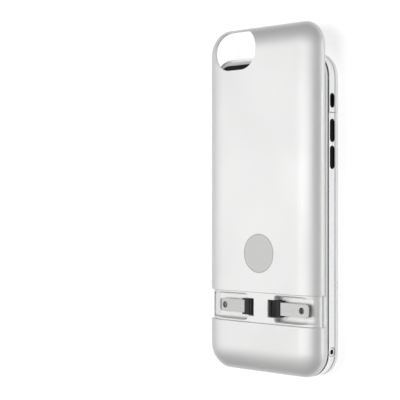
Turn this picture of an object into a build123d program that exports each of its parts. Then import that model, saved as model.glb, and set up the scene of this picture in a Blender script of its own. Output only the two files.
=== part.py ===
from build123d import *

import os

# Battery charging case for a slab phone. A cover on its back slides up and bares a folding mains plug.
# The case lies face down on its front rim. X runs across it, with the volume keys on +X, Y runs along it
# towards the camera end, and Z runs from the front rim up to the back. The cover is drawn slid up.
# All sizes are in millimetres, and a place along the case is measured from its lower end.

# The phone, and the case round it
phone_width = 67.2
side_wall = 2.7
case_length = 155.0
case_depth = 17.0
roll_width = 12.0  # how far the rounded edge of the back reaches in
corner_radius = roll_width + 0.5
roll_foot = 0.6  # upright stretch under the rounding, before it is flattened
move_gap = 0.3  # between pieces that move past each other

# Layers, from the front rim up
lip_thick = 1.1
bezel_height = 3.3
band_height = 4.9
gasket_height = 0.8
gasket_sink = 0.1
rim_height = 1.5
cover_thick = 1.2
housing_wall = 1.0
band_wall = 1.8
edge_break = 0.25
rim_rounding = 1.4

# The phone space and the screen opening
phone_start = 13.3
phone_corner = 9.5
floor_thick = 0.8
cradle_from_top = 14.0
screen_lip = 1.5
screen_low_lip = 1.1
screen_from_top = 4.8
screen_corner = 8.5
screen_bevel = 0.6

# The top cap lifts off at this seam so that the phone can slide in
seam_from_top = 29.3

# Keys and openings along the sides
key_length = 10.7
key_height = 3.2
key_drop = 0.25  # from the middle of the band towards the front
key_gap = 0.2  # round each key in its slot
key_flange = 0.5
flange_thick = 0.6
key_sink = 0.1
volume_up_from_top = 37.8
volume_down_from_top = 50.5
power_from_top = 37.8
mute_from_top = 23.6
mute_length = 7.0
mute_height = 3.4
grommet_wall = 0.6
button_place = 12.6
button_margin = 0.3  # left of the band above and below the button
button_gap = 0.15
button_travel = 0.4
stem_radius = 1.2
stem_flange = 0.3
lens_radius = 1.2
lens_depth = 0.8
switch_width = 3.2
switch_depth = 2.0
switch_height = 4.0
switch_plunger = 0.3

# The chin, with its lights, sound slots and sockets
chin_wall = 1.0
light_places = (-12.2, -4.1, 4.1, 12.2)
light_from_end = 3.9
light_radius = 0.6
slot_place = 18.6
slot_from_end = 8.35
slot_length = 12.2
slot_height = 2.0
mesh_margin = 0.6
mesh_thick = 0.3
board_thick = 0.8
control_length = 50.0
control_start = 3.2
control_end = 11.5
control_top_gap = 0.8
post_place = 21.0
post_from_end = 8.6
post_radius = 1.6
led_length = 1.6
led_width = 0.8
led_height = 0.6
plug_tab_width = 6.6
plug_tab_thick = 1.5
plug_tab_length = 7.0
plug_base_width = 9.0
plug_base_depth = 4.0
usb_place = 20.0
usb_start = 1.0
usb_width = 7.6
usb_depth = 5.5
usb_height = 2.6
usb_wall = 0.4
usb_tongue_thick = 0.7
usb_tongue_width = 4.0
usb_back_wall = 1.4

# The plug tray, its pockets and its two folding blades
band_start = 24.4
band_length = 14.8
tray_lap = 0.4  # how far the tray runs on under the shells above and below it
tray_floor = 0.8
pocket_length = 12.1
pocket_inner = 9.0
pocket_from_side = 3.3
pocket_depth = 3.8
pocket_corner = 1.4
pocket_flare = 0.6  # sloped edge round each pocket's mouth
ramp_length = 3.0  # sloped floor at each pocket's outer end, past the blade's tip
ramp_height = 1.2
hinge_place = 7.7
hub_room = 0.3  # under each hub
hub_sink = 0.4  # below the face of the tray
hub_length = 8.0
rib_count = 6
rib_step = 24.0
rib_first = 66.0
rib_width = 0.5
rib_depth = 0.3
neck_end = 11.4
ear_end = 12.85
neck_thick = 2.3
blade_width = 6.35
blade_thick = 1.5
blade_spacing = 12.7
blade_tip_room = 4.2
blade_root = 6.9
blade_tip_corner = 1.6
blade_taper = 1.7  # length of the slope at the tip
blade_taper_drop = 0.5  # taken off each face at the tip
blade_hole_radius = 1.6
blade_hole_from_tip = 4.0
pin_radius = 0.75
pin_play = 0.05
pin_low = 9.2
pin_high = 6.0
clip_width = 2.8
clip_thick = 1.0
clip_over_pin = 1.0

# The sliding cover, its camera window and its badge
groove_depth = 1.0
bead_height = 1.0
bead_from_top = 27.0
window_from_side = 6.7
window_from_top = 1.4
window_width = 27.4
window_length = 19.4
window_corner = 9.6
camera_from_side = 8.3
camera_from_top = 3.4
camera_width = 25.2
camera_length = 16.8
camera_corner = 5.0
trim_side = 1.5
trim_top = 2.6
badge_place = 43.9
badge_radius = 9.5
badge_sink = 0.5

# Cell, boards and screws inside
cavity_inset = 3.6
cell_from_side = 8.3
cell_from_tray = 1.4
cell_from_top = 24.0
cell_gap = 0.7
cell_corner = 2.0
mains_from_side = 10.3
mains_start = 4.6
mains_from_tray = 1.0
mains_thick = 1.0
coil_width = 15.0
coil_length = 12.0
coil_row = 14.8
coil_from_board_end = 6.5
film_width = 11.0
film_length = 4.0
film_rows = (10.6, 16.6)
film_from_board_end = 5.0
part_gap = 0.5  # over the coil and the capacitors
charge_board_width = 22.0
charge_board_length = 14.0
charge_board_from_side = 21.3
charge_board_from_top = 14.5
screw_from_side = 5.6
screw_from_end = 46.0
screw_from_top = 29.0
screw_radius = 0.6
screw_tip_room = 1.6
screw_head_radius = 1.25
screw_head_thick = 0.5
cross_length = 1.5  # of each arm of the driver recess
cross_width = 0.35
cross_depth = 0.3
pad_radius = 1.9
pad_height = 0.7

# Levels worked out from the sizes above
z_band = bezel_height
z_gasket = z_band + band_height
z_rim = z_gasket + gasket_height
z_shell = z_rim + rim_height
z_cover_inside = case_depth - cover_thick
z_tray = z_cover_inside - move_gap
z_inside = z_tray - housing_wall
z_floor = z_rim - floor_thick
z_button = z_band + band_height / 2
z_keys = z_button - key_drop
z_plug_tab = (lip_thick + z_floor) / 2
z_control = z_floor - control_top_gap - board_thick
z_usb = z_control - usb_height / 2
hub_radius = (z_tray - hub_sink - z_rim - hub_room) / 2
z_hinge = z_tray - hub_sink - hub_radius
z_blade = z_hinge + hinge_place - blade_spacing / 2
z_pocket = z_tray - pocket_depth
z_mains = z_rim + mains_thick

# Places and sizes worked out from the sizes above
case_width = phone_width + 2 * side_wall
half_width = case_width / 2
cover_travel = band_length - move_gap
y_end = -(case_length + cover_travel) / 2
y_middle = y_end + case_length / 2
y_plug = y_end + band_start + band_length / 2
housing_inset = cover_thick + move_gap
cap_inset = band_wall - move_gap
screen_width = phone_width - 2 * screen_lip
screen_start = phone_start + screen_low_lip
seam_place = case_length - seam_from_top
volume_up_place = case_length - volume_up_from_top
volume_down_place = case_length - volume_down_from_top
power_place = case_length - power_from_top
mute_place = case_length - mute_from_top
pocket_outer = half_width - pocket_from_side
blade_tip = pocket_outer - blade_tip_room
camera_middle = camera_from_side + camera_width / 2 - half_width
camera_end = case_length - camera_from_top
window_across = window_from_side + window_width / 2 - half_width
window_middle = case_length - window_from_top - window_length / 2
button_radius = band_height / 2 - button_margin
chin_side = half_width - band_wall - chin_wall
button_back = half_width - band_wall + button_travel + button_gap
switch_face = chin_side - button_gap - stem_flange - button_travel - switch_plunger
screw_x = half_width - screw_from_side
screw_y = (y_end + screw_from_end, y_end + case_length - screw_from_top)
screw_places = [(x, y) for x in (-screw_x, screw_x) for y in screw_y]
post_places = [(x, y_end + post_from_end) for x in (-post_place, post_place)]
light_spots = [(x, y_end + light_from_end) for x in light_places]
slot_spots = [(x, y_end + slot_from_end) for x in (-slot_place, slot_place)]
screw_length = z_inside - screw_tip_room - z_floor - screw_head_thick
half_board = half_width - mains_from_side
coil_x = coil_from_board_end + coil_width / 2 - half_board
film_x = half_board - film_from_board_end - film_width / 2
through = 40.0  # longer than any cut needs

os.makedirs("parts", exist_ok=True)


def case_outline(inset, mode=Mode.ADD):
    """The rounded outline of the case, set in on every side."""
    with Locations((0, y_middle)):
        RectangleRounded(case_width - 2 * inset, case_length - 2 * inset, corner_radius - inset, mode=mode)


def long_outline(width, start, end, corner, mode=Mode.ADD):
    """A rounded outline centred across the case, between two places along it."""
    with Locations((0, y_end + (start + end) / 2)):
        RectangleRounded(width, end - start, corner, mode=mode)


def camera_outline(side_inset, top_inset):
    """The camera opening through the cradle and the housing, set in at its sides and at its top."""
    length = camera_length - side_inset - top_inset
    with Locations((camera_middle, y_end + camera_end - top_inset - length / 2)):
        RectangleRounded(camera_width - 2 * side_inset, length, camera_corner - side_inset)


def across(place):
    """The plane across the case at a place along it, facing the camera end."""
    return Plane((0, y_end + place, 0), x_dir=(1, 0, 0), z_dir=(0, 1, 0))


def rolled_form(inset, top):
    """The rounded back of the case, set in on every side, from the rim's top up to a flat top."""
    upright = roll_width - inset + roll_foot
    with BuildPart() as form:
        with BuildSketch():
            case_outline(inset)
        extrude(amount=upright)
        fillet(form.faces().sort_by(Axis.Z)[-1].edges(), roll_width - inset)
        scale(by=(1, 1, (top - z_shell) / upright))
    return form.part.moved(Location((0, 0, z_shell)))


def driver_recess(places, level):
    """A cross cut up into screw heads whose faces are at one level."""
    with BuildSketch(Plane.XY.offset(level)) as cross:
        with Locations(places):
            Rectangle(cross_length, cross_width)
            Rectangle(cross_width, cross_length)
    extrude(cross.sketch, amount=cross_depth, mode=Mode.SUBTRACT)


def write(piece, name):
    """Label a finished piece and write it."""
    piece.label = name
    export_step(piece, f"parts/{name}.step")


shell_form = rolled_form(0, case_depth)
cover_form = shell_form.moved(Location((0, cover_travel, 0)))
cover_inside = rolled_form(cover_thick, z_cover_inside).moved(Location((0, cover_travel, 0)))
housing_form = rolled_form(housing_inset, z_tray)
cavity_form = rolled_form(cavity_inset, z_inside)

# Front bezel: the moulded rim that lies on the table, with the chin below the screen
with BuildPart() as front_bezel:
    with BuildSketch():
        case_outline(0)
    extrude(amount=bezel_height)
    fillet(front_bezel.faces().sort_by(Axis.Z)[0].edges(), rim_rounding)
    chamfer(front_bezel.faces().sort_by(Axis.Z)[-1].edges(), edge_break)
    with BuildSketch(Plane.XY.offset(lip_thick)):
        case_outline(band_wall)
    extrude(amount=through, mode=Mode.SUBTRACT)
    with BuildSketch():
        long_outline(screen_width, screen_start, case_length - screen_from_top, screen_corner)
    extrude(amount=through, mode=Mode.SUBTRACT)
    chamfer(front_bezel.faces().sort_by(Axis.Z)[0].inner_wires()[0].edges(), screen_bevel)
    with BuildSketch():
        with Locations(slot_spots):
            SlotOverall(slot_length, slot_height)
        with Locations(light_spots):
            Circle(light_radius)
    extrude(amount=lip_thick, mode=Mode.SUBTRACT)
    split(bisect_by=across(seam_place - move_gap / 2), keep=Keep.BOTTOM)
write(front_bezel.part, "front_bezel")

# Top cap bezel: the same rim above the seam, on the piece that lifts off
with BuildPart() as top_cap_bezel:
    with BuildSketch():
        case_outline(0)
    extrude(amount=bezel_height)
    fillet(top_cap_bezel.faces().sort_by(Axis.Z)[0].edges(), rim_rounding)
    chamfer(top_cap_bezel.faces().sort_by(Axis.Z)[-1].edges(), edge_break)
    with BuildSketch(Plane.XY.offset(lip_thick)):
        case_outline(cap_inset)
    extrude(amount=through, mode=Mode.SUBTRACT)
    with BuildSketch():
        long_outline(screen_width, screen_start, case_length - screen_from_top, screen_corner)
    extrude(amount=through, mode=Mode.SUBTRACT)
    chamfer(top_cap_bezel.faces().sort_by(Axis.Z)[0].inner_wires()[0].edges(), screen_bevel)
    split(bisect_by=across(seam_place + move_gap / 2), keep=Keep.TOP)
write(top_cap_bezel.part, "top_cap_bezel")

# Side band: the bright strip round the sides and lower end, with room for the keys and the socket
with BuildPart() as side_band:
    with BuildSketch(Plane.XY.offset(z_band)):
        case_outline(0)
    extrude(amount=band_height)
    chamfer(side_band.faces().filter_by(Axis.Z).edges(), edge_break)
    with BuildSketch(Plane.XY.offset(z_band)):
        case_outline(band_wall)
    extrude(amount=band_height, mode=Mode.SUBTRACT)
    with BuildSketch(Plane.YZ.offset(half_width - 2 * band_wall)):
        for place in (volume_up_place, volume_down_place):
            with Locations((y_end + place, z_keys)):
                SlotOverall(key_length + 2 * key_gap, key_height + 2 * key_gap)
        with Locations((y_end + button_place, z_button)):
            Circle(button_radius + button_gap)
    extrude(amount=through, mode=Mode.SUBTRACT)
    with BuildSketch(Plane.YZ.offset(2 * band_wall - half_width)):
        with Locations((y_end + power_place, z_keys)):
            SlotOverall(key_length + 2 * key_gap, key_height + 2 * key_gap)
    extrude(amount=-through, mode=Mode.SUBTRACT)
    with BuildSketch(across(usb_start)):
        with Locations((usb_place, -z_usb)):
            RectangleRounded(usb_width, usb_height, usb_wall)
    extrude(amount=band_wall * 2, both=True, mode=Mode.SUBTRACT)
    split(bisect_by=across(seam_place - move_gap / 2), keep=Keep.BOTTOM)
write(side_band.part, "side_band")

# Top cap band: the same strip above the seam, open at the mute switch
with BuildPart() as top_cap_band:
    with BuildSketch(Plane.XY.offset(z_band)):
        case_outline(0)
    extrude(amount=band_height - move_gap)
    chamfer(top_cap_band.faces().filter_by(Axis.Z).edges(), edge_break)
    with BuildSketch(Plane.XY.offset(z_band)):
        case_outline(cap_inset)
    extrude(amount=band_height, mode=Mode.SUBTRACT)
    with BuildSketch(Plane.YZ.offset(half_width - 2 * band_wall)):
        with Locations((y_end + mute_place, z_keys)):
            SlotOverall(mute_length, mute_height)
    extrude(amount=through, mode=Mode.SUBTRACT)
    split(bisect_by=across(seam_place + move_gap / 2), keep=Keep.TOP)
write(top_cap_band.part, "top_cap_band")

# Mute grommet: a rubber ring round the opening for the phone's mute switch
with BuildPart() as mute_grommet:
    with BuildSketch(Plane.YZ.offset(half_width - cap_inset)):
        with Locations((y_end + mute_place, z_keys)):
            SlotOverall(mute_length, mute_height)
            SlotOverall(
                mute_length - 2 * grommet_wall, mute_height - 2 * grommet_wall, mode=Mode.SUBTRACT
            )
    extrude(amount=cap_inset - 2 * key_sink)
write(mute_grommet.part, "mute_grommet")

# Cradle: the tray that the phone lies in, with low walls, and the hollow chin below it
with BuildPart() as cradle:
    with BuildSketch(Plane.XY.offset(lip_thick)):
        case_outline(band_wall)
        long_outline(phone_width, phone_start, case_length, phone_corner, mode=Mode.SUBTRACT)
    extrude(amount=z_floor - lip_thick)
    split(bisect_by=across(case_length - cradle_from_top), keep=Keep.BOTTOM)
    with BuildSketch(Plane.XY.offset(lip_thick)):
        with Locations((0, y_end + (seam_place - move_gap + case_length) / 2)):
            Rectangle(case_width, case_length - seam_place + move_gap)
    extrude(amount=move_gap, mode=Mode.SUBTRACT)
    with BuildSketch(Plane.XY.offset(lip_thick)):
        case_outline(band_wall + chin_wall)
        long_outline(
            phone_width + 2 * chin_wall,
            phone_start - chin_wall,
            case_length,
            phone_corner + chin_wall,
            mode=Mode.SUBTRACT,
        )
    extrude(amount=z_floor - lip_thick, mode=Mode.SUBTRACT)
    with BuildSketch(Plane.XY.offset(z_floor)):
        case_outline(band_wall)
    extrude(amount=floor_thick)
    with BuildSketch(Plane.XY.offset(z_control + board_thick)):
        with Locations(post_places):
            Circle(post_radius)
    extrude(amount=control_top_gap)
    with BuildSketch(Plane.XY.offset(z_rim)):
        with Locations(screw_places):
            Circle(pad_radius)
    extrude(amount=pad_height)
    with Locations([(x, y, z_floor) for x, y in screw_places]):
        Cylinder(screw_head_radius, 2 * screw_head_thick, mode=Mode.SUBTRACT)
        Cylinder(screw_radius, through, mode=Mode.SUBTRACT)
    with Locations([(x, y, z_control + board_thick) for x, y in post_places]):
        Cylinder(screw_radius, 2 * control_top_gap, mode=Mode.SUBTRACT)
    with BuildSketch(Plane.YZ.offset(phone_width / 2 - 2 * chin_wall)):
        for place in (volume_up_place, volume_down_place):
            with Locations((y_end + place, z_keys)):
                SlotOverall(
                    key_length + 2 * (key_flange + move_gap), key_height + 2 * (key_flange + move_gap)
                )
        with Locations((y_end + mute_place, z_keys)):
            SlotOverall(mute_length, mute_height)
        with Locations((y_end + button_place, z_button)):
            Circle(stem_radius + button_gap)
    extrude(amount=through, mode=Mode.SUBTRACT)
    with BuildSketch(Plane.YZ.offset(2 * chin_wall - phone_width / 2)):
        with Locations((y_end + power_place, z_keys)):
            SlotOverall(
                key_length + 2 * (key_flange + move_gap), key_height + 2 * (key_flange + move_gap)
            )
    extrude(amount=-through, mode=Mode.SUBTRACT)
    with BuildSketch(across(usb_start)):
        with Locations((usb_place, -z_usb)):
            RectangleRounded(usb_width, usb_height, usb_wall)
    extrude(amount=band_wall + chin_wall, mode=Mode.SUBTRACT)
    with BuildSketch(across(phone_start - chin_wall)):
        with Locations((0, -z_plug_tab)):
            Rectangle(plug_tab_width, plug_tab_thick)
    extrude(amount=chin_wall, mode=Mode.SUBTRACT)
    with BuildSketch(Plane.XY.offset(z_floor)):
        camera_outline(0, 0)
    extrude(amount=floor_thick, mode=Mode.SUBTRACT)
write(cradle.part, "cradle")

# Rim gasket: the dark line between the front half and the back half
with BuildPart() as rim_gasket:
    with BuildSketch(Plane.XY.offset(z_gasket)):
        case_outline(gasket_sink)
        case_outline(band_wall, mode=Mode.SUBTRACT)
    extrude(amount=gasket_height)
write(rim_gasket.part, "rim_gasket")

# Housing: the tub that holds the cell and the boards, with a groove down each side for the cover
with BuildPart() as housing:
    with BuildSketch(Plane.XY.offset(z_rim)):
        case_outline(0)
    extrude(amount=rim_height)
    add(housing_form)
    with BuildSketch(Plane.XY.offset(z_rim)):
        case_outline(cavity_inset)
    extrude(amount=rim_height, mode=Mode.SUBTRACT)
    add(cavity_form, mode=Mode.SUBTRACT)
    with BuildSketch(Plane.XY.offset(z_rim + pad_height)):
        with Locations(screw_places):
            Circle(pad_radius)
            Circle(screw_radius, mode=Mode.SUBTRACT)
    extrude(amount=screw_length)
    with BuildSketch(Plane.XY.offset(z_shell)):
        with Locations((0, y_plug)):
            Rectangle(case_width, band_length + 2 * tray_lap)
    extrude(amount=through, mode=Mode.SUBTRACT)
    with BuildSketch(Plane.XY.offset(z_shell)):
        for side in (-1, 1):
            with Locations((side * (half_width - housing_inset), y_middle)):
                Rectangle(2 * groove_depth, case_length)
        long_outline(case_width, 0, band_start, move_gap, mode=Mode.SUBTRACT)
    extrude(amount=bead_height + 2 * move_gap, mode=Mode.SUBTRACT)
    with BuildSketch(Plane.XY.offset(z_rim)):
        camera_outline(0, 0)
    extrude(amount=through, mode=Mode.SUBTRACT)
write(housing.part, "housing")

# Camera trim: a black frame in the housing's camera opening, wide along its top
with BuildPart() as camera_trim:
    add(housing_form)
    with BuildSketch(Plane.XY.offset(z_shell)):
        camera_outline(0, 0)
    extrude(amount=through, mode=Mode.INTERSECT)
    with BuildSketch(Plane.XY.offset(z_shell)):
        camera_outline(trim_side, trim_top)
    extrude(amount=through, mode=Mode.SUBTRACT)
write(camera_trim.part, "camera_trim")

# Lower shell: the fixed part of the back, below the plug
with BuildPart() as lower_shell:
    add(shell_form)
    add(housing_form, mode=Mode.SUBTRACT)
    split(bisect_by=across(band_start), keep=Keep.BOTTOM)
    fillet(lower_shell.faces().sort_by(Axis.Y)[-1].edges().sort_by(Axis.Z)[-1], edge_break)
write(lower_shell.part, "lower_shell")

# Plug tray: the insert that the cover bares, with a pocket and a hub window for each blade
with BuildPart() as plug_tray:
    add(housing_form)
    with BuildSketch(Plane.XY.offset(z_shell)):
        with Locations((0, y_plug)):
            Rectangle(case_width, band_length + 2 * tray_lap)
    extrude(amount=through, mode=Mode.INTERSECT)
    with BuildSketch(Plane.XY.offset(z_rim)):
        with Locations((0, y_plug)):
            Rectangle(case_width - 2 * cavity_inset - 2 * chin_wall, band_length + 2 * tray_lap)
    extrude(amount=rim_height)
    with BuildSketch(Plane.XY.offset(z_pocket)):
        for side in (-1, 1):
            with Locations((side * (pocket_inner + pocket_outer) / 2, y_plug)):
                RectangleRounded(pocket_outer - pocket_inner, pocket_length, pocket_corner)
    extrude(amount=through, mode=Mode.SUBTRACT)
    with BuildSketch(Plane.XY.offset(z_tray - pocket_flare)):
        for side in (-1, 1):
            with Locations((side * (pocket_inner + pocket_outer) / 2, y_plug)):
                RectangleRounded(pocket_outer - pocket_inner, pocket_length, pocket_corner)
    extrude(amount=2 * pocket_flare, taper=-45, mode=Mode.SUBTRACT)
    with BuildSketch(Plane.XZ.offset(-y_plug)):
        for side in (-1, 1):
            with Locations((side * pocket_outer, z_pocket)):
                Polygon((0, 0), (-side * ramp_length, 0), (0, ramp_height), align=None)
    extrude(amount=pocket_length / 2, both=True)
    with BuildSketch(Plane.XY.offset(z_rim)):
        for side in (-1, 1):
            with Locations((side * hinge_place, y_plug)):
                Rectangle(2 * (hub_radius + move_gap), hub_length + 2 * move_gap)
    extrude(amount=through, mode=Mode.SUBTRACT)
    with BuildSketch(Plane.XY.offset(z_rim)):
        for side in (-1, 1):
            with Locations((side * (ear_end + pocket_outer) / 2, y_plug)):
                Rectangle(pocket_outer - ear_end - 2 * chin_wall, pocket_length)
    extrude(amount=z_pocket - z_rim - tray_floor, mode=Mode.SUBTRACT)
    with BuildSketch(Plane.XZ.offset(-y_plug)):
        for side in (-1, 1):
            with Locations((side * hinge_place, z_hinge)):
                Circle(pin_radius)
    extrude(amount=pin_high, dir=(0, 1, 0), mode=Mode.SUBTRACT)
    with BuildSketch(Plane.XZ.offset(-y_plug)):
        for side in (-1, 1):
            with Locations((side * hinge_place, z_hinge)):
                Circle(pin_radius)
    extrude(amount=pin_low, dir=(0, -1, 0), mode=Mode.SUBTRACT)
write(plug_tray.part, "plug_tray")

# Hinge pins: two steel pins that also carry the current, with their lower ends in the clips
with BuildPart() as hinge_pins:
    with BuildSketch(Plane.XZ.offset(-(y_plug - pin_low))):
        for side in (-1, 1):
            with Locations((side * hinge_place, z_hinge)):
                Circle(pin_radius)
    extrude(amount=pin_low + pin_high, dir=(0, 1, 0))
write(hinge_pins.part, "hinge_pins")

# Contact clips: sprung feet on the mains board that grip the pins
with BuildPart() as contact_clips:
    for side in (-1, 1):
        with BuildSketch(Plane.XZ.offset(-(y_plug - pin_low))):
            with Locations((side * hinge_place, (z_mains + z_hinge + clip_over_pin) / 2)):
                Rectangle(clip_width, z_hinge + clip_over_pin - z_mains)
            with Locations((side * hinge_place, z_hinge)):
                Circle(pin_radius, mode=Mode.SUBTRACT)
        extrude(amount=clip_thick, dir=(0, 1, 0))
write(contact_clips.part, "contact_clips")

# Folding blades and their ribbed hubs, each pair turning on its own pin
for side, hand in ((1, "right"), (-1, "left")):
    with BuildPart() as blade:
        with BuildSketch(Plane.XZ.offset(-y_plug)):
            with BuildLine():
                Polyline(
                    (side * blade_root, z_blade - blade_thick / 2),
                    (side * (blade_tip - blade_taper), z_blade - blade_thick / 2),
                    (side * blade_tip, z_blade - blade_thick / 2 + blade_taper_drop),
                    (side * blade_tip, z_blade + blade_thick / 2 - blade_taper_drop),
                    (side * (blade_tip - blade_taper), z_blade + blade_thick / 2),
                    (side * blade_root, z_blade + blade_thick / 2),
                    close=True,
                )
            make_face()
        extrude(amount=blade_width / 2, both=True)
        with BuildSketch(Plane.XY.offset(z_blade - blade_thick)):
            with Locations((side * (blade_root + blade_tip) / 2, y_plug)):
                outline = Rectangle(blade_tip - blade_root, blade_width)
            tip = outline.vertices().sort_by(Axis.X)
            fillet(tip[-2:] if side > 0 else tip[:2], blade_tip_corner)
            with Locations((side * (blade_tip - blade_hole_from_tip), y_plug)):
                Circle(blade_hole_radius, mode=Mode.SUBTRACT)
        extrude(amount=2 * blade_thick, mode=Mode.INTERSECT)
        with BuildSketch(Plane.XZ.offset(-y_plug)):
            with Locations((side * hinge_place, z_hinge)):
                Circle(pin_radius + pin_play)
        extrude(amount=blade_width, both=True, mode=Mode.SUBTRACT)
    write(blade.part, f"{hand}_blade")

    with BuildPart() as hub:
        with BuildSketch(Plane.XZ.offset(-y_plug)):
            with Locations((side * hinge_place, z_hinge)):
                Circle(hub_radius)
            for rib in range(rib_count):
                angle = rib_first + rib * rib_step
                with Locations((side * hinge_place, z_hinge)):
                    with Locations(Location((0, 0, 0), angle if side > 0 else 180 - angle)):
                        with Locations((hub_radius, 0)):
                            Rectangle(2 * rib_depth, rib_width, mode=Mode.SUBTRACT)
            with Locations((side * (hinge_place + neck_end) / 2, z_blade)):
                Rectangle(neck_end - hinge_place, neck_thick)
        extrude(amount=hub_length / 2, both=True)
        with BuildSketch(Plane.XZ.offset(-y_plug)):
            with Locations((side * (neck_end + ear_end) / 2, z_blade)):
                Rectangle(ear_end - neck_end, neck_thick)
        extrude(amount=hub_length / 2, both=True)
        with BuildSketch(Plane.XY.offset(z_blade)):
            with Locations((side * (neck_end + ear_end) / 2, y_plug)):
                Rectangle(ear_end - neck_end, blade_width)
        extrude(amount=neck_thick, both=True, mode=Mode.SUBTRACT)
        with BuildSketch(Plane.XY.offset(z_blade)):
            with Locations((side * (blade_root + ear_end) / 2, y_plug)):
                Rectangle(ear_end - blade_root, blade_width)
        extrude(amount=blade_thick / 2, both=True, mode=Mode.SUBTRACT)
        with BuildSketch(Plane.XZ.offset(-y_plug)):
            with Locations((side * hinge_place, z_hinge)):
                Circle(pin_radius + pin_play)
        extrude(amount=hub_length, both=True, mode=Mode.SUBTRACT)
    write(hub.part, f"{hand}_hub")

# Back cover: a thin shell that slides up the housing, with a bead inside each long edge
bead_start = band_start + band_length + tray_lap + 2 * move_gap
bead_length = case_length - bead_from_top - bead_start
bead_middle = half_width - housing_inset - groove_depth / 2 + move_gap
y_bead = y_end + cover_travel + bead_start + bead_length / 2
with BuildPart() as back_cover:
    add(cover_form)
    add(cover_inside, mode=Mode.SUBTRACT)
    with BuildSketch(Plane.XY.offset(z_shell)):
        Rectangle(2 * case_width, 2 * (case_length + cover_travel))
    extrude(amount=move_gap, mode=Mode.SUBTRACT)
    with BuildSketch(Plane.XY.offset(z_shell + move_gap)):
        for side in (-1, 1):
            with Locations((side * bead_middle, y_bead)):
                Rectangle(groove_depth, bead_length)
    extrude(amount=bead_height)
    split(bisect_by=across(band_start + cover_travel + move_gap), keep=Keep.TOP)
    fillet(back_cover.faces().sort_by(Axis.Y)[0].edges().sort_by(Axis.Z)[-1], edge_break)
    with BuildSketch(Plane.XY.offset(z_shell)):
        with Locations((window_across, y_end + cover_travel + window_middle)):
            RectangleRounded(window_width, window_length, window_corner)
    extrude(amount=through, mode=Mode.SUBTRACT)
    with BuildSketch(Plane.XY.offset(case_depth - badge_sink)):
        with Locations((0, y_end + cover_travel + badge_place)):
            Circle(badge_radius)
    extrude(amount=badge_sink, mode=Mode.SUBTRACT)
write(back_cover.part, "back_cover")

# Badge disc: a plain grey disc let into the cover
with BuildPart() as badge_disc:
    with BuildSketch(Plane.XY.offset(case_depth - badge_sink)):
        with Locations((0, y_end + cover_travel + badge_place)):
            Circle(badge_radius)
    extrude(amount=badge_sink)
    chamfer(badge_disc.faces().sort_by(Axis.Z)[-1].edges(), edge_break)
write(badge_disc.part, "badge_disc")

# Side keys: rubber pills with a flange behind the band
key_set = (
    ("volume_up_key", volume_up_place, 1),
    ("volume_down_key", volume_down_place, 1),
    ("power_key", power_place, -1),
)
for name, place, side in key_set:
    key_plane = Plane((side * phone_width / 2, 0, 0), x_dir=(0, side, 0), z_dir=(side, 0, 0))
    with BuildPart() as key:
        with BuildSketch(key_plane):
            with Locations((side * (y_end + place), z_keys)):
                SlotOverall(key_length + 2 * key_flange, key_height + 2 * key_flange)
        extrude(amount=flange_thick)
        with BuildSketch(key_plane):
            with Locations((side * (y_end + place), z_keys)):
                SlotOverall(key_length, key_height)
        extrude(amount=half_width - phone_width / 2 - key_sink)
        fillet(key.faces().sort_by(Axis.X)[-1 if side > 0 else 0].edges(), edge_break)
    write(key.part, name)

# Charge button: a round white button with a dark lens, snapped through the wall in front of its switch
with BuildPart() as charge_button:
    with BuildSketch(Plane.YZ.offset(button_back)):
        with Locations((y_end + button_place, z_button)):
            Circle(button_radius)
    extrude(amount=half_width - key_sink - button_back)
    fillet(charge_button.faces().sort_by(Axis.X)[-1].edges(), edge_break)
    with BuildSketch(Plane.YZ.offset(chin_side - button_gap)):
        with Locations((y_end + button_place, z_button)):
            Circle(stem_radius)
    extrude(amount=button_back - chin_side + button_gap)
    with BuildSketch(Plane.YZ.offset(chin_side - button_gap)):
        with Locations((y_end + button_place, z_button)):
            Circle(stem_radius + stem_flange)
    extrude(amount=-stem_flange)
    with BuildSketch(Plane.YZ.offset(half_width - key_sink - lens_depth)):
        with Locations((y_end + button_place, z_button)):
            Circle(lens_radius)
    extrude(amount=lens_depth, mode=Mode.SUBTRACT)
write(charge_button.part, "charge_button")

with BuildPart() as charge_button_lens:
    with BuildSketch(Plane.YZ.offset(half_width - key_sink - lens_depth)):
        with Locations((y_end + button_place, z_button)):
            Circle(lens_radius)
    extrude(amount=lens_depth)
write(charge_button_lens.part, "charge_button_lens")

# Switch: a side-push switch under the cradle floor, behind the charge button
with BuildPart() as charge_switch:
    with BuildSketch(Plane.YZ.offset(switch_face - switch_depth)):
        with Locations((y_end + button_place, z_floor - switch_height / 2)):
            Rectangle(switch_width, switch_height)
    extrude(amount=switch_depth)
    with BuildSketch(Plane.YZ.offset(switch_face)):
        with Locations((y_end + button_place, z_button)):
            Circle(switch_width / 4)
    extrude(amount=switch_plunger)
write(charge_switch.part, "charge_switch")

# Control board: a narrow board on two posts in the chin
with BuildPart() as control_board:
    with BuildSketch(Plane.XY.offset(z_control)):
        with Locations((0, y_end + (control_start + control_end) / 2)):
            Rectangle(control_length, control_end - control_start)
        with Locations(post_places):
            Circle(screw_radius, mode=Mode.SUBTRACT)
    extrude(amount=board_thick)
write(control_board.part, "control_board")

# Board screws: two small screws that hold the control board to its posts
with BuildPart() as board_screws:
    with BuildSketch(Plane.XY.offset(z_control - screw_head_thick)):
        with Locations(post_places):
            Circle(screw_head_radius)
    extrude(amount=screw_head_thick)
    with BuildSketch(Plane.XY.offset(z_control)):
        with Locations(post_places):
            Circle(screw_radius)
    extrude(amount=board_thick + control_top_gap)
    driver_recess(post_places, z_control - screw_head_thick)
write(board_screws.part, "board_screws")

# Charge lights: four chips under the board, each with a clear pipe to the front of the chin
with BuildPart() as charge_lights:
    with BuildSketch(Plane.XY.offset(z_control - led_height)):
        with Locations(light_spots):
            Rectangle(led_length, led_width)
    extrude(amount=led_height)
write(charge_lights.part, "charge_lights")

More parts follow.
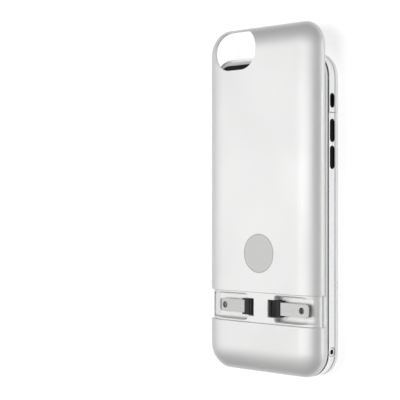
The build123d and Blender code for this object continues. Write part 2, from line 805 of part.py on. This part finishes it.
with BuildPart() as light_pipes:
    with BuildSketch(Plane.XY.offset(key_sink)):
        with Locations(light_spots):
            Circle(light_radius)
    extrude(amount=z_control - led_height - key_sink)
write(light_pipes.part, "light_pipes")

# Sound meshes: fine screens behind the two slots in the chin
with BuildPart() as sound_meshes:
    with BuildSketch(Plane.XY.offset(lip_thick)):
        with Locations(slot_spots):
            SlotOverall(slot_length + 2 * mesh_margin, slot_height + 2 * mesh_margin)
    extrude(amount=mesh_thick)
write(sound_meshes.part, "sound_meshes")

# Dock plug: the tab that stands up into the phone's socket, on a base under the control board
with BuildPart() as dock_plug:
    with BuildSketch(Plane.XY.offset(z_control)):
        with Locations((0, y_end + phone_start - chin_wall - plug_base_depth / 2)):
            Rectangle(plug_base_width, plug_base_depth)
    extrude(amount=-(z_control - z_plug_tab + plug_tab_thick))
    with BuildSketch(across(phone_start - chin_wall)):
        with Locations((0, -z_plug_tab)):
            Rectangle(plug_tab_width, plug_tab_thick)
    extrude(amount=chin_wall + plug_tab_length)
    tab_end = dock_plug.faces().sort_by(Axis.Y)[-1]
    fillet(tab_end.edges().filter_by(Axis.Z), plug_tab_thick)
write(dock_plug.part, "dock_plug")

# Charging socket: a small metal shell with a tongue, in the lower end
with BuildPart() as usb_socket:
    with BuildSketch(across(usb_start)):
        with Locations((usb_place, -z_usb)):
            RectangleRounded(usb_width, usb_height, usb_wall)
    extrude(amount=usb_depth)
    with BuildSketch(across(usb_start)):
        with Locations((usb_place, -z_usb)):
            Rectangle(usb_width - 2 * usb_wall, usb_height - 2 * usb_wall)
    extrude(amount=usb_depth - usb_back_wall, mode=Mode.SUBTRACT)
    with BuildSketch(across(usb_start + move_gap)):
        with Locations((usb_place, -z_usb)):
            Rectangle(usb_tongue_width, usb_tongue_thick)
    extrude(amount=usb_depth - usb_back_wall - move_gap)
write(usb_socket.part, "usb_socket")

# Battery cell: a flat pouch on the cradle floor, above the plug
with BuildPart() as battery_cell:
    with BuildSketch(Plane.XY.offset(z_rim)):
        long_outline(
            case_width - 2 * cell_from_side,
            band_start + band_length + tray_lap + cell_from_tray,
            case_length - cell_from_top,
            cell_corner,
        )
    extrude(amount=z_inside - z_rim - cell_gap)
write(battery_cell.part, "battery_cell")

# Mains board: turns the plug's mains voltage into charging current, below the plug
with BuildPart() as mains_board:
    with BuildSketch(Plane.XY.offset(z_rim)):
        with Locations((0, y_end + (mains_start + band_start - mains_from_tray) / 2)):
            Rectangle(2 * half_board, band_start - mains_from_tray - mains_start)
    extrude(amount=mains_thick)
write(mains_board.part, "mains_board")

with BuildPart() as transformer:
    with BuildSketch(Plane.XY.offset(z_mains)):
        with Locations((coil_x, y_end + coil_row)):
            Rectangle(coil_width, coil_length)
    extrude(amount=z_inside - z_mains - part_gap)
write(transformer.part, "transformer")

with BuildPart() as capacitors:
    with BuildSketch(Plane.XY.offset(z_mains)):
        with Locations([(film_x, y_end + row) for row in film_rows]):
            Rectangle(film_width, film_length)
    extrude(amount=z_inside - z_mains - part_gap)
write(capacitors.part, "capacitors")

# Charge board: looks after the cell, beside the camera opening
with BuildPart() as charge_board:
    with BuildSketch(Plane.XY.offset(z_rim)):
        with Locations((half_width - charge_board_from_side, y_end + case_length - charge_board_from_top)):
            Rectangle(charge_board_width, charge_board_length)
    extrude(amount=board_thick)
write(charge_board.part, "charge_board")

# Case screws: four small screws from the phone space up into the housing
with BuildPart() as case_screws:
    with BuildSketch(Plane.XY.offset(z_floor)):
        with Locations(screw_places):
            Circle(screw_head_radius)
    extrude(amount=screw_head_thick)
    with BuildSketch(Plane.XY.offset(z_floor + screw_head_thick)):
        with Locations(screw_places):
            Circle(screw_radius)
    extrude(amount=screw_length)
    driver_recess(screw_places, z_floor)
write(case_screws.part, "case_screws")
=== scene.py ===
import math

import bmesh
import bpy
import mathutils
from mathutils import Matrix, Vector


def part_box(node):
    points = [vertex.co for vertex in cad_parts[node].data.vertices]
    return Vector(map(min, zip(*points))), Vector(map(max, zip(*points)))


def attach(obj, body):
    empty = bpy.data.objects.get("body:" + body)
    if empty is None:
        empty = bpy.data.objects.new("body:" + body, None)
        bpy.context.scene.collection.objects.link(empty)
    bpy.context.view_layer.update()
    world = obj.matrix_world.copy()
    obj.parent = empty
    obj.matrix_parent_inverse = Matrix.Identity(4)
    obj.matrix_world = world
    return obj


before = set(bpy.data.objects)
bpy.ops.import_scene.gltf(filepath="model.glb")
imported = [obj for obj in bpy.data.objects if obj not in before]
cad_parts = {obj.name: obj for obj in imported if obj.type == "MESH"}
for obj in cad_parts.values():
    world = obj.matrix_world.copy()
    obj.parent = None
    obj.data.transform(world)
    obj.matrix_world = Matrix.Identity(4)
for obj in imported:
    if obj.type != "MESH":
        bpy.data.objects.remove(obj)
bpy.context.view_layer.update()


# Front rim: the white moulding around the open front, in two lengths that part at the seam.
# Injection moulded in a hard plastic and sprayed with a glossy pearl lacquer.
def moulding_skin_group():
    """The slight unevenness of a moulded skin, as a tone, a roughness and a height."""
    group = bpy.data.node_groups.new("moulding_skin", "ShaderNodeTree")
    for name in ("Grain", "Smoothest", "Roughest"):
        group.interface.new_socket(name=name, socket_type="NodeSocketFloat", in_out="INPUT")
    for name in ("Tone", "Roughness", "Height"):
        group.interface.new_socket(name=name, socket_type="NodeSocketFloat", in_out="OUTPUT")
    entry = group.nodes.new("NodeGroupInput")
    result = group.nodes.new("NodeGroupOutput")
    place = group.nodes.new("ShaderNodeTexCoord")
    flow = group.nodes.new("ShaderNodeTexNoise")
    flow.inputs["Scale"].default_value = 45.0
    flow.inputs["Detail"].default_value = 3.0
    spread = group.nodes.new("ShaderNodeMapRange")
    spread.inputs["From Min"].default_value = 0.35
    spread.inputs["From Max"].default_value = 0.65
    peel = group.nodes.new("ShaderNodeTexNoise")
    peel.inputs["Detail"].default_value = 2.0
    join = group.links.new
    join(place.outputs["Object"], flow.inputs["Vector"])
    join(flow.outputs["Fac"], spread.inputs["Value"])
    join(flow.outputs["Fac"], result.inputs["Tone"])
    join(entry.outputs["Smoothest"], spread.inputs["To Min"])
    join(entry.outputs["Roughest"], spread.inputs["To Max"])
    join(spread.outputs["Result"], result.inputs["Roughness"])
    join(place.outputs["Object"], peel.inputs["Vector"])
    join(entry.outputs["Grain"], peel.inputs["Scale"])
    join(peel.outputs["Fac"], result.inputs["Height"])
    return group


moulding_skin = moulding_skin_group()
skin_relief = 0.0001


def two_tones(nodes, deep, pale, start=0.0, end=1.0):
    """A colour ramp from a deep tone to a pale one."""
    ramp = nodes.new("ShaderNodeValToRGB")
    for stop, place, color in zip(ramp.color_ramp.elements, (start, end), (deep, pale)):
        stop.position = place
        stop.color = (*color, 1.0)
    return ramp


def moulded(name, color, grain, smoothest, roughest, depth, deepest=0.97):
    """A moulded plastic or rubber whose colour and skin vary a little."""
    material = bpy.data.materials.new(name)
    material.use_nodes = True
    nodes = material.node_tree.nodes
    join = material.node_tree.links.new
    shader = nodes["Principled BSDF"]
    skin = nodes.new("ShaderNodeGroup")
    skin.node_tree = moulding_skin
    skin.inputs["Grain"].default_value = grain
    skin.inputs["Smoothest"].default_value = smoothest
    skin.inputs["Roughest"].default_value = roughest
    tone = two_tones(nodes, [deepest * part for part in color], color)
    bump = nodes.new("ShaderNodeBump")
    bump.inputs["Strength"].default_value = depth
    bump.inputs["Distance"].default_value = skin_relief
    join(skin.outputs["Tone"], tone.inputs["Fac"])
    join(tone.outputs["Color"], shader.inputs["Base Color"])
    join(skin.outputs["Roughness"], shader.inputs["Roughness"])
    join(skin.outputs["Height"], bump.inputs["Height"])
    join(bump.outputs["Normal"], shader.inputs["Normal"])
    return material


def sockets(material):
    """The inputs of a material's main shader."""
    return material.node_tree.nodes["Principled BSDF"].inputs


def dress(material, *names):
    """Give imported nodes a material."""
    for name in names:
        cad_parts[name].material_slots[0].material = material


white_rim = moulded(
    "white_rim", (0.95, 0.95, 0.945), grain=1200.0, smoothest=0.25, roughest=0.33, depth=0.03, deepest=0.985
)
sockets(white_rim)["Metallic"].default_value = 0.55
dress(white_rim, "front_bezel", "top_cap_bezel")


# Side band: a bright silver strip between the rim and the back, in the same two lengths.
# Rolled, plated, and finely brushed along its length. Its lower edge, at the seam with the rim, is darkened
# with painted shade.
def brushed_grain_group():
    """Fine parallel scratches, drawn out by a stretch along each axis."""
    group = bpy.data.node_groups.new("brushed_grain", "ShaderNodeTree")
    group.interface.new_socket(name="Stretch", socket_type="NodeSocketVector", in_out="INPUT")
    group.interface.new_socket(name="Grain", socket_type="NodeSocketFloat", in_out="OUTPUT")
    entry = group.nodes.new("NodeGroupInput")
    result = group.nodes.new("NodeGroupOutput")
    place = group.nodes.new("ShaderNodeTexCoord")
    draw_out = group.nodes.new("ShaderNodeVectorMath")
    draw_out.operation = "MULTIPLY"
    lines = group.nodes.new("ShaderNodeTexNoise")
    lines.inputs["Scale"].default_value = 1.0
    lines.inputs["Detail"].default_value = 3.0
    join = group.links.new
    join(place.outputs["Object"], draw_out.inputs[0])
    join(entry.outputs["Stretch"], draw_out.inputs[1])
    join(draw_out.outputs["Vector"], lines.inputs["Vector"])
    join(lines.outputs["Fac"], result.inputs["Grain"])
    return group


brushed_grain = brushed_grain_group()
scratch_relief = 0.00005
scratch_strength = 0.05


def brushed(name, dull, bright, stretch, smoothest, roughest):
    """A plated or plain metal, brushed along the axis that is stretched least."""
    material = bpy.data.materials.new(name)
    material.use_nodes = True
    nodes = material.node_tree.nodes
    join = material.node_tree.links.new
    shader = nodes["Principled BSDF"]
    shader.inputs["Metallic"].default_value = 1.0
    grain = nodes.new("ShaderNodeGroup")
    grain.node_tree = brushed_grain
    grain.inputs["Stretch"].default_value = stretch
    tone = two_tones(nodes, dull, bright, start=0.3, end=0.7)
    rough = nodes.new("ShaderNodeMapRange")
    rough.inputs["To Min"].default_value = smoothest
    rough.inputs["To Max"].default_value = roughest
    bump = nodes.new("ShaderNodeBump")
    bump.inputs["Strength"].default_value = scratch_strength
    bump.inputs["Distance"].default_value = scratch_relief
    join(grain.outputs["Grain"], tone.inputs["Fac"])
    join(tone.outputs["Color"], shader.inputs["Base Color"])
    join(grain.outputs["Grain"], rough.inputs["Value"])
    join(rough.outputs["Result"], shader.inputs["Roughness"])
    join(grain.outputs["Grain"], bump.inputs["Height"])
    join(bump.outputs["Normal"], shader.inputs["Normal"])
    return material


silver_band = brushed(
    "silver_band",
    dull=(0.76, 0.77, 0.78),
    bright=(0.87, 0.88, 0.89),
    stretch=(60.0, 60.0, 9000.0),
    smoothest=0.18,
    roughest=0.32,
)
# Painted shade: over the lowest strip of the band, at its seam with the rim, the colour is scaled down to a
# small share.
band_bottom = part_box("side_band")[0][2]
seam_shade_width = 0.0007
seam_shade_share = 0.05
band_nodes = silver_band.node_tree.nodes
band_join = silver_band.node_tree.links.new
band_place = band_nodes.new("ShaderNodeTexCoord")
band_split = band_nodes.new("ShaderNodeSeparateXYZ")
band_seam_shade = band_nodes.new("ShaderNodeMapRange")
band_seam_shade.inputs["From Min"].default_value = band_bottom
band_seam_shade.inputs["From Max"].default_value = band_bottom + seam_shade_width
band_seam_shade.inputs["To Min"].default_value = seam_shade_share
band_shade = band_nodes.new("ShaderNodeVectorMath")
band_shade.operation = "SCALE"
band_join(band_place.outputs["Object"], band_split.inputs["Vector"])
band_join(band_split.outputs["Z"], band_seam_shade.inputs["Value"])
band_color = sockets(silver_band)["Base Color"]
band_join(band_color.links[0].from_socket, band_shade.inputs["Vector"])
band_join(band_seam_shade.outputs["Result"], band_shade.inputs["Scale"])
band_join(band_shade.outputs["Vector"], band_color)
dress(silver_band, "side_band", "top_cap_band")

# Rim gasket and mute ring: both of black silicone rubber. The gasket is clamped between the front half
# and the back half, and the ring is pressed into an opening in the side.
rubber_black = (0.014, 0.014, 0.015)
black_rubber = moulded(
    "black_rubber", rubber_black, grain=2500.0, smoothest=0.5, roughest=0.65, depth=0.1, deepest=0.7
)
sockets(black_rubber)["Specular IOR Level"].default_value = 0.15
dress(black_rubber, "rim_gasket", "mute_grommet")

# Side keys: the same rubber, each with a painted highlight along its middle that makes it a little paler
# there.
# They stand out through their slots from behind, and a flange stops them there.
# The painted highlight fades out between two distances, both measured from the key's middle.
key_low, key_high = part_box("volume_up_key")
key_level = (key_low[2] + key_high[2]) / 2
sheen_full_until = 0.0003
sheen_gone_at = 0.0007
key_rubber = moulded("key_rubber", rubber_black, grain=2500.0, smoothest=0.45, roughest=0.6, depth=0.1)
sockets(key_rubber)["Specular IOR Level"].default_value = 0.02
key_nodes = key_rubber.node_tree.nodes
key_join = key_rubber.node_tree.links.new
key_place = key_nodes.new("ShaderNodeTexCoord")
key_split = key_nodes.new("ShaderNodeSeparateXYZ")
key_offset = key_nodes.new("ShaderNodeMath")
key_offset.operation = "SUBTRACT"
key_offset.inputs[1].default_value = key_level
key_away = key_nodes.new("ShaderNodeMath")
key_away.operation = "ABSOLUTE"
# Painted highlight: full near the key's middle, none further out.
key_painted_sheen = key_nodes.new("ShaderNodeMapRange")
key_painted_sheen.inputs["From Min"].default_value = sheen_full_until
key_painted_sheen.inputs["From Max"].default_value = sheen_gone_at
key_painted_sheen.inputs["To Min"].default_value = 1.0
key_painted_sheen.inputs["To Max"].default_value = 0.0
key_sheen_tone = two_tones(key_nodes, (0.001, 0.001, 0.001), (0.022, 0.022, 0.0225))
key_join(key_place.outputs["Object"], key_split.inputs["Vector"])
key_join(key_split.outputs["Z"], key_offset.inputs[0])
key_join(key_offset.outputs["Value"], key_away.inputs[0])
key_join(key_away.outputs["Value"], key_painted_sheen.inputs["Value"])
key_join(key_painted_sheen.outputs["Result"], key_sheen_tone.inputs["Fac"])
key_join(key_sheen_tone.outputs["Color"], sockets(key_rubber)["Base Color"])
dress(key_rubber, "volume_up_key", "volume_down_key", "power_key")

# Charge button: a white cap with a dark lens set in it, in front of a small black switch.
# The cap is a glossy moulding, and the lens is smoked and polished.
white_button = moulded(
    "white_button", (0.93, 0.93, 0.93), grain=1200.0, smoothest=0.2, roughest=0.28, depth=0.03
)
sockets(white_button)["Metallic"].default_value = 0.6
dress(white_button, "charge_button")
dark_lens = moulded(
    "dark_lens", (0.003, 0.003, 0.0035), grain=800.0, smoothest=0.08, roughest=0.15, depth=0.02
)
sockets(dark_lens)["Specular IOR Level"].default_value = 0.1
dress(dark_lens, "charge_button_lens")
black_plastic = moulded(
    "black_plastic", (0.01, 0.01, 0.0105), grain=2200.0, smoothest=0.4, roughest=0.55, depth=0.12, deepest=0.7
)
sockets(black_plastic)["Specular IOR Level"].default_value = 0.35
dress(black_plastic, "charge_switch")

# Control board: a narrow lacquered board in the chin, on two posts, with four light chips and the
# clear pipes that carry their light to the front.
board_green = moulded(
    "board_green", (0.03, 0.16, 0.07), grain=1500.0, smoothest=0.3, roughest=0.45, depth=0.1, deepest=0.6
)
dress(board_green, "control_board", "mains_board", "charge_board")
clear_pipe = moulded("clear_pipe", (0.85, 0.88, 0.9), grain=900.0, smoothest=0.1, roughest=0.16, depth=0.02)
sockets(clear_pipe)["Transmission Weight"].default_value = 0.7
dress(clear_pipe, "light_pipes")
chip_resin = moulded("chip_resin", (0.8, 0.78, 0.6), grain=1500.0, smoothest=0.3, roughest=0.4, depth=0.05)
dress(chip_resin, "charge_lights")
plain_steel = brushed(
    "plain_steel",
    dull=(0.5, 0.5, 0.52),
    bright=(0.64, 0.64, 0.66),
    stretch=(2500.0, 300.0, 2500.0),
    smoothest=0.25,
    roughest=0.4,
)
dress(plain_steel, "board_screws", "case_screws", "hinge_pins", "usb_socket")

# Sound meshes: woven steel wire behind the two slots of the chin, glued in from inside.
# The weave is drawn as two sets of wires that cross. The holes between them are painted near-black, as
# painted shade from the hollow chin behind. At a scale of 1 the wave texture repeats once in each
# wave_period.
wire_pitch = 0.0004
wire_relief = 0.0001
wave_period = 2.0 * math.pi / 20.0
mesh_wire = bpy.data.materials.new("mesh_wire")
mesh_wire.use_nodes = True
wire_nodes = mesh_wire.node_tree.nodes
wire_join = mesh_wire.node_tree.links.new
wire_shader = sockets(mesh_wire)
wire_shader["Metallic"].default_value = 0.9
wire_shader["Roughness"].default_value = 0.42
wire_place = wire_nodes.new("ShaderNodeTexCoord")
wire_cover = wire_nodes.new("ShaderNodeMath")
wire_cover.operation = "MAXIMUM"
for index, direction in enumerate(("X", "Y")):
    wires = wire_nodes.new("ShaderNodeTexWave")
    wires.bands_direction = direction
    wires.inputs["Scale"].default_value = wave_period / wire_pitch
    wire_join(wire_place.outputs["Object"], wires.inputs["Vector"])
    wire_join(wires.outputs["Fac"], wire_cover.inputs[index])
wire_tone = two_tones(wire_nodes, (0.01, 0.01, 0.01), (0.42, 0.42, 0.43), start=0.45, end=0.7)
wire_bump = wire_nodes.new("ShaderNodeBump")
wire_bump.inputs["Strength"].default_value = 0.6
wire_bump.inputs["Distance"].default_value = wire_relief
wire_join(wire_cover.outputs["Value"], wire_tone.inputs["Fac"])
wire_join(wire_tone.outputs["Color"], wire_shader["Base Color"])
wire_join(wire_cover.outputs["Value"], wire_bump.inputs["Height"])
wire_join(wire_bump.outputs["Normal"], wire_shader["Normal"])
dress(mesh_wire, "sound_meshes")

# Dock plug: a steel tab on a base in the chin, with a row of gold-plated contacts let into each face.
# The contacts are thin stamped pads, rounded over at their edges.
# The base reaches one tab_thick below the middle of the tab.
dress(plain_steel, "dock_plug")
tab_low, tab_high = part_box("dock_plug")
tab_thick = 0.0015
tab_level = tab_low[2] + tab_thick
pad_count = 8
pad_pitch = 0.00066
pad_size = (0.0004, 0.0024, 0.00008)
pad_from_tip = 0.0026
pad_rounding = 0.00003
pad_shape = bmesh.new()
for face in (-1.0, 1.0):
    for index in range(pad_count):
        pad = bmesh.ops.create_cube(pad_shape, size=1.0)["verts"]
        across = (index - (pad_count - 1) / 2) * pad_pitch
        bmesh.ops.scale(pad_shape, vec=pad_size, verts=pad)
        spot = (across, tab_high[1] - pad_from_tip, tab_level + face * tab_thick / 2)
        bmesh.ops.translate(pad_shape, vec=spot, verts=pad)
bmesh.ops.bevel(
    pad_shape,
    geom=pad_shape.edges[:],
    offset=pad_rounding,
    offset_type="OFFSET",
    affect="EDGES",
    segments=2,
    profile=0.5,
    material=-1,
)
pad_mesh = bpy.data.meshes.new("dock_contacts")
pad_shape.to_mesh(pad_mesh)
pad_shape.free()
dock_contacts = bpy.data.objects.new("dock_contacts", pad_mesh)
bpy.context.scene.collection.objects.link(dock_contacts)
gold_plate = brushed(
    "gold_plate",
    dull=(0.7, 0.47, 0.16),
    bright=(0.86, 0.62, 0.26),
    stretch=(3000.0, 400.0, 3000.0),
    smoothest=0.2,
    roughest=0.32,
)
pad_mesh.materials.append(gold_plate)
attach(dock_contacts, "base")

# Cradle: the matt grey tray inside the front, with the walls of the hollow chin.
# Injection moulded in one piece, and left as it comes from the mould.
cradle_grey = moulded(
    "cradle_grey", (0.55, 0.56, 0.57), grain=1600.0, smoothest=0.55, roughest=0.7, depth=0.15
)
dress(cradle_grey, "cradle")

# Cell and mains parts: a foil pouch with soft creases, a wound coil in a dark core, and two film
# capacitors in resin, all on the cradle floor or the boards.
cell_foil = moulded("cell_foil", (0.62, 0.63, 0.65), grain=300.0, smoothest=0.35, roughest=0.5, depth=0.3)
sockets(cell_foil)["Metallic"].default_value = 1.0
dress(cell_foil, "battery_cell")
dull_ferrite = moulded(
    "dull_ferrite", (0.08, 0.08, 0.085), grain=1500.0, smoothest=0.6, roughest=0.75, depth=0.2
)
dress(dull_ferrite, "transformer")
film_resin = moulded("film_resin", (0.62, 0.42, 0.08), grain=1200.0, smoothest=0.25, roughest=0.4, depth=0.08)
dress(film_resin, "capacitors")

# Housing: the white tub behind the cradle, and the black frame in its camera opening.
# The tub, and all of the back with it, is moulded in white and sprayed with a pale pearl lacquer.
white_shell = moulded(
    "white_shell", (0.87, 0.87, 0.865), grain=900.0, smoothest=0.42, roughest=0.48, depth=0.03, deepest=0.985
)
sockets(white_shell)["Metallic"].default_value = 0.35
dress(white_shell, "housing")
dress(black_plastic, "camera_trim")

# Plug: nickel-plated brass blades in ribbed black hubs, turning on steel pins in a white tray.
# The blades are stamped, then brushed along their length.
dress(white_shell, "plug_tray")
dress(black_plastic, "right_hub", "left_hub")
nickel_plate = brushed(
    "nickel_plate",
    dull=(0.36, 0.358, 0.352),
    bright=(0.45, 0.447, 0.44),
    stretch=(90.0, 5000.0, 5000.0),
    smoothest=0.36,
    roughest=0.5,
)
dress(nickel_plate, "right_blade", "left_blade", "contact_clips")

# Back: the fixed lower shell and the cover that slides up, in the same lacquered white moulding.
# Beads along the cover's long sides run in a groove down each side of the housing.
dress(white_shell, "lower_shell", "back_cover")

# Badge: a plain satin disc, let into the cover.
# It is turned on a lathe, so that its grain runs in rings.
badge_low, badge_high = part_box("badge_disc")
badge_middle = [-(low + high) / 2 for low, high in zip(badge_low, badge_high)]
ring_pitch = 0.0004
badge_grey = bpy.data.materials.new("badge_grey")
badge_grey.use_nodes = True
badge_nodes = badge_grey.node_tree.nodes
badge_join = badge_grey.node_tree.links.new
badge_shader = sockets(badge_grey)
badge_shader["Metallic"].default_value = 0.4
badge_place = badge_nodes.new("ShaderNodeTexCoord")
badge_centred = badge_nodes.new("ShaderNodeMapping")
badge_centred.inputs["Location"].default_value = badge_middle
badge_out = badge_nodes.new("ShaderNodeVectorMath")
badge_out.operation = "LENGTH"
badge_rings = badge_nodes.new("ShaderNodeTexNoise")
badge_rings.noise_dimensions = "1D"
badge_rings.inputs["Scale"].default_value = 1.0 / ring_pitch
badge_tone = two_tones(badge_nodes, (0.46, 0.46, 0.45), (0.62, 0.62, 0.61))
badge_rough = badge_nodes.new("ShaderNodeMapRange")
badge_rough.inputs["To Min"].default_value = 0.32
badge_rough.inputs["To Max"].default_value = 0.48
badge_join(badge_place.outputs["Object"], badge_centred.inputs["Vector"])
badge_join(badge_centred.outputs["Vector"], badge_out.inputs[0])
badge_join(badge_out.outputs["Value"], badge_rings.inputs["W"])
badge_join(badge_rings.outputs["Fac"], badge_tone.inputs["Fac"])
badge_join(badge_tone.outputs["Color"], badge_shader["Base Color"])
badge_join(badge_rings.outputs["Fac"], badge_rough.inputs["Value"])
badge_join(badge_rough.outputs["Result"], badge_shader["Roughness"])
dress(badge_grey, "badge_disc")

# Floor: a wide pale sheet that keeps the soft shadow of the case.
# It is white where the camera sees it, straight, in a reflection or through clear plastic.
floor_reach = 3.0
floor_drop = 0.0001
floor_tone = 0.65
floor_glow = 0.7
floor_shape = bmesh.new()
sheet = bmesh.ops.create_grid(floor_shape, x_segments=1, y_segments=1, size=floor_reach)["verts"]
bmesh.ops.translate(floor_shape, vec=(0.0, 0.0, -floor_drop), verts=sheet)
floor_mesh = bpy.data.meshes.new("floor")
floor_shape.to_mesh(floor_mesh)
floor_shape.free()
floor = bpy.data.objects.new("floor", floor_mesh)
bpy.context.scene.collection.objects.link(floor)
floor_paper = bpy.data.materials.new("floor_paper")
floor_paper.use_nodes = True
paper_nodes = floor_paper.node_tree.nodes
paper_join = floor_paper.node_tree.links.new
paper_nodes.remove(paper_nodes["Principled BSDF"])
paper_matt = paper_nodes.new("ShaderNodeBsdfDiffuse")
paper_matt.inputs["Color"].default_value = (floor_tone, floor_tone, floor_tone, 1.0)
paper_glow = paper_nodes.new("ShaderNodeEmission")
paper_path = paper_nodes.new("ShaderNodeLightPath")
seen_or_mirrored = paper_nodes.new("ShaderNodeMath")
seen_or_mirrored.operation = "ADD"
seen_at_all = paper_nodes.new("ShaderNodeMath")
seen_at_all.operation = "ADD"
white_share = paper_nodes.new("ShaderNodeMath")
white_share.operation = "MULTIPLY"
white_share.inputs[1].default_value = floor_glow
paper_sum = paper_nodes.new("ShaderNodeAddShader")
paper_join(paper_path.outputs["Is Camera Ray"], seen_or_mirrored.inputs[0])
paper_join(paper_path.outputs["Is Glossy Ray"], seen_or_mirrored.inputs[1])
paper_join(seen_or_mirrored.outputs["Value"], seen_at_all.inputs[0])
paper_join(paper_path.outputs["Is Transmission Ray"], seen_at_all.inputs[1])
paper_join(seen_at_all.outputs["Value"], white_share.inputs[0])
paper_join(white_share.outputs["Value"], paper_glow.inputs["Strength"])
paper_join(paper_matt.outputs["BSDF"], paper_sum.inputs[0])
paper_join(paper_glow.outputs["Emission"], paper_sum.inputs[1])
paper_join(paper_sum.outputs["Shader"], paper_nodes["Material Output"].inputs["Surface"])
floor_mesh.materials.append(floor_paper)

# Light: one soft sheet nearly overhead, another on the side away from the camera, which the flat back
# mirrors, a low strip and a weak fill on the camera's side for the upright walls, and a dim even glow.
even_glow = 0.08
lamp_distance = 1.6
world = bpy.data.worlds.new("studio")
world.use_nodes = True
sky = world.node_tree.nodes["Background"].inputs
sky["Color"].default_value = (1.0, 1.0, 1.0, 1.0)
sky["Strength"].default_value = even_glow
bpy.context.scene.world = world


def soft_lamp(name, length, width, power, aside):
    """A lamp that faces the case from afar, tipped to one side by an angle in degrees."""
    data = bpy.data.lights.new(name, "AREA")
    data.shape = "RECTANGLE"
    data.size = length
    data.size_y = width
    data.energy = power
    lamp = bpy.data.objects.new(name, data)
    away = (math.sin(math.radians(aside)), 0.0, math.cos(math.radians(aside)))
    lamp.location = [lamp_distance * part for part in away]
    lamp.rotation_euler = mathutils.Vector(away).to_track_quat("Z", "Y").to_euler()
    bpy.context.scene.collection.objects.link(lamp)


soft_lamp("overhead_sheet", length=1.1, width=1.3, power=10.7, aside=-12.0)
soft_lamp("far_sheet", length=1.2, width=1.4, power=7.3, aside=-48.0)
soft_lamp("near_strip", length=1.4, width=0.5, power=12.0, aside=88.0)
soft_lamp("near_fill", length=1.6, width=1.6, power=2.0, aside=52.0)

# Camera: looks down on the back from the key side, with the camera end of the case at the top.
# It stands view_aside to the left, so that the case falls right of the middle of the picture.
view_angle = math.radians(44.55)
view_distance = 0.5785
view_aside = 0.0348
view_middle = (0.0, -0.0004, 0.008)
view_lens = 105.8
camera_data = bpy.data.cameras.new("camera")
camera_data.lens = view_lens
camera = bpy.data.objects.new("camera", camera_data)
camera.location = (
    view_middle[0] + view_distance * math.sin(view_angle) - view_aside * math.cos(view_angle),
    view_middle[1],
    view_middle[2] + view_distance * math.cos(view_angle) + view_aside * math.sin(view_angle),
)
camera.rotation_euler = (0.0, view_angle, 0.0)
bpy.context.scene.collection.objects.link(camera)
bpy.context.scene.camera = camera
bpy.context.scene.view_settings.view_transform = "Standard"
